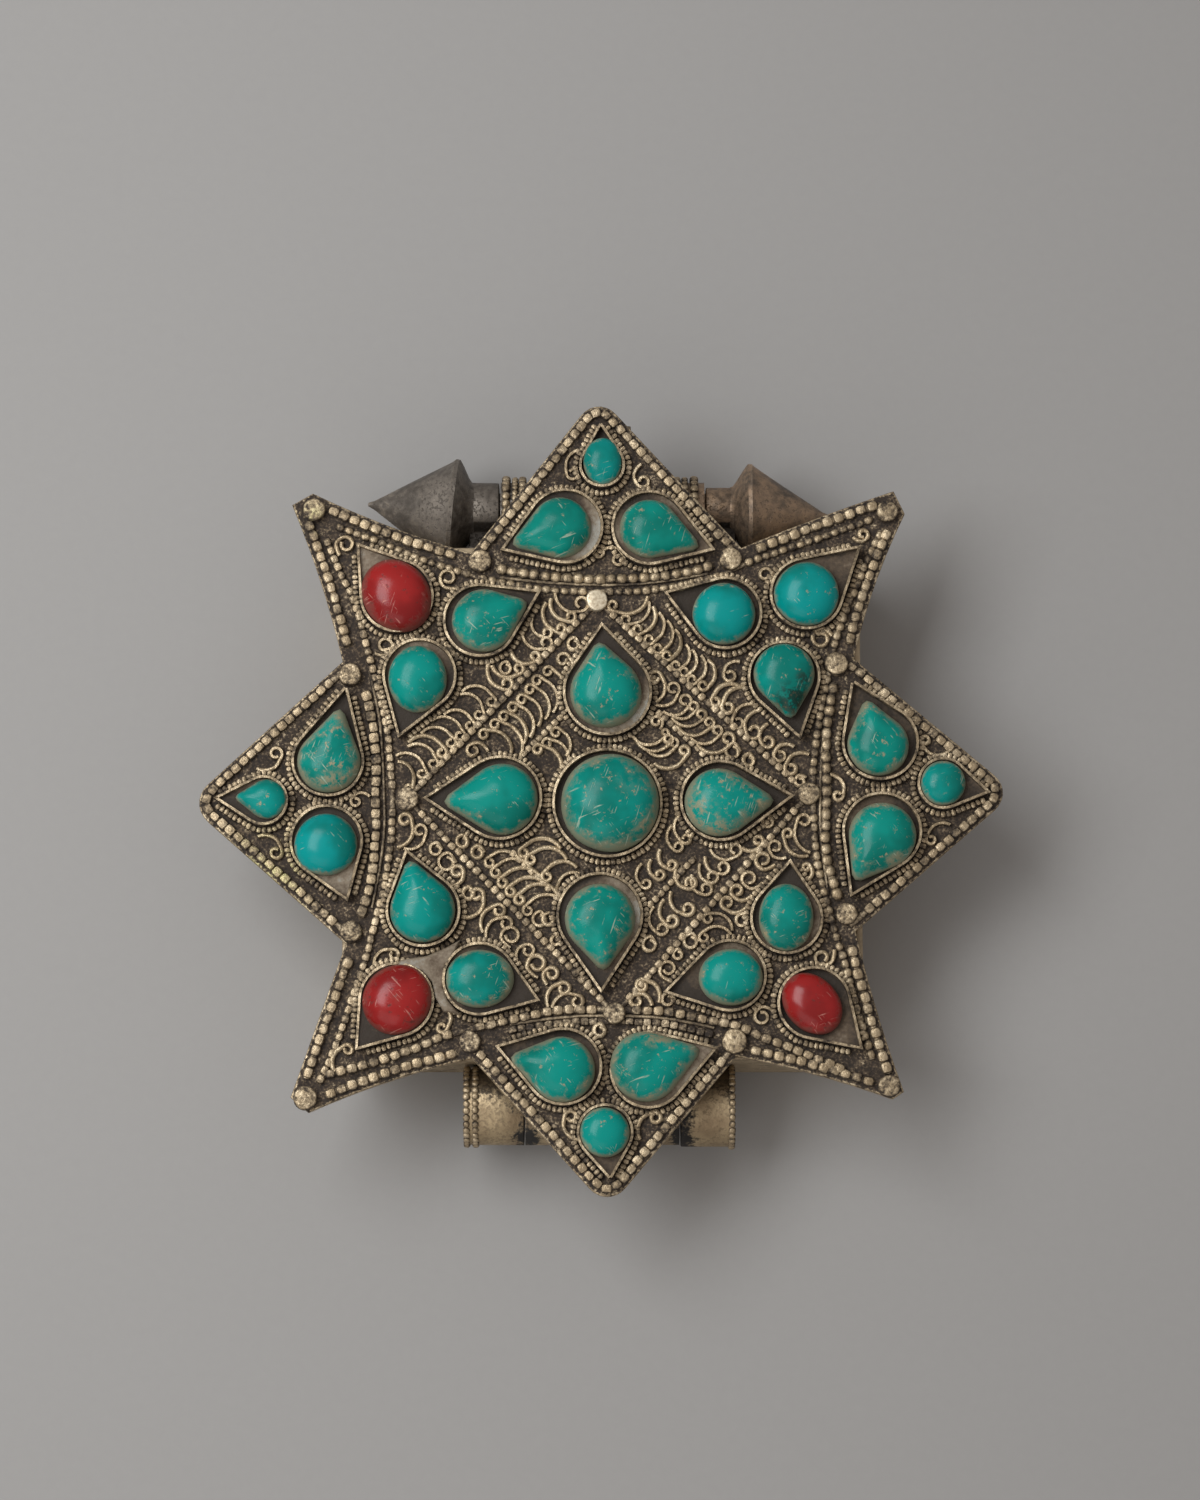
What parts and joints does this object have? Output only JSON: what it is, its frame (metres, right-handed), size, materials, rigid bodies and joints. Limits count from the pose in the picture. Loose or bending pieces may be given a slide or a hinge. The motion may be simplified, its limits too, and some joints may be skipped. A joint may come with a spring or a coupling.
{
  "type": "ghau amulet box",
  "caption": "Flat amulet box with a hinged eight-pointed star lid set with turquoise and coral cabochons, filigree scrolls, cone-ended hinge tube and a lower clasp tube.",
  "frame": {"origin": "middle of the back face, on the surface the box lies on", "axes": "+Z out of the stones, +Y to the hinge and hanging loop (top of the picture), +X to the right of the picture"},
  "size_m": [0.1, 0.1, 0.023],
  "materials": {
    "antique_metal": "worn, darkened in the recesses",
    "plain_metal": "dull sheet",
    "dark_metal": "dark grey patina, brushed",
    "pale_brass": "dull pale brass with black patches",
    "turquoise": "polished cabochon with pale scratches",
    "coral": "polished cabochon",
    "cement": "matt grey setting cement"
  },
  "bodies": {
    "tray": {"back_plate": "plain_metal", "box_wall": "plain_metal", "left_hinge_knuckle": "dark_metal", "right_hinge_knuckle": "dark_metal", "left_cone_finial": "dark_metal", "right_cone_finial": "dark_metal", "hinge_pin": "plain_metal", "left_clasp_knuckle": "pale_brass", "right_clasp_knuckle": "pale_brass", "clasp_rings": "antique_metal"},
    "lid": {"star_plate": "antique_metal", "lid_flange": "plain_metal", "hinge_sleeve": "antique_metal", "sleeve_rings": "antique_metal", "clasp_sleeve": "pale_brass", "hanging_loop": "antique_metal", "notch_studs": "antique_metal", "corner_studs": "antique_metal", "diamond_studs": "antique_metal", "tip_bead_wires": "antique_metal", "corner_bead_wires": "antique_metal", "panel_bead_wires": "antique_metal", "diamond_bead_wires": "antique_metal", "outer_filigree": "antique_metal", "inner_filigree": "antique_metal", "gap_curls": "antique_metal", "centre_bezel": "antique_metal", "petal_bezels": "antique_metal", "north_bezels": "antique_metal", "east_bezels": "antique_metal", "south_bezels": "antique_metal", "west_bezels": "antique_metal", "northeast_bezels": "antique_metal", "southeast_bezels": "antique_metal", "southwest_bezels": "antique_metal", "northwest_bezels": "antique_metal", "bezel_foot_wires": "antique_metal", "stone_bedding": "cement", "centre_turquoise": "turquoise", "petal_turquoises": "turquoise", "north_turquoises": "turquoise", "east_turquoises": "turquoise", "south_turquoises": "turquoise", "west_turquoises": "turquoise", "northeast_turquoises": "turquoise", "southeast_turquoises": "turquoise", "southwest_turquoises": "turquoise", "northwest_turquoises": "turquoise", "northwest_coral": "coral", "southwest_coral": "coral", "southeast_coral": "coral"}
  },
  "joints": [
    {"name": "lid_hinge", "type": "hinge", "parent": "tray", "child": "lid", "pos_m": [0, 0.0388, 0.0085], "axis": [-1, 0, 0], "range_deg": [0, 120]}
  ]
}
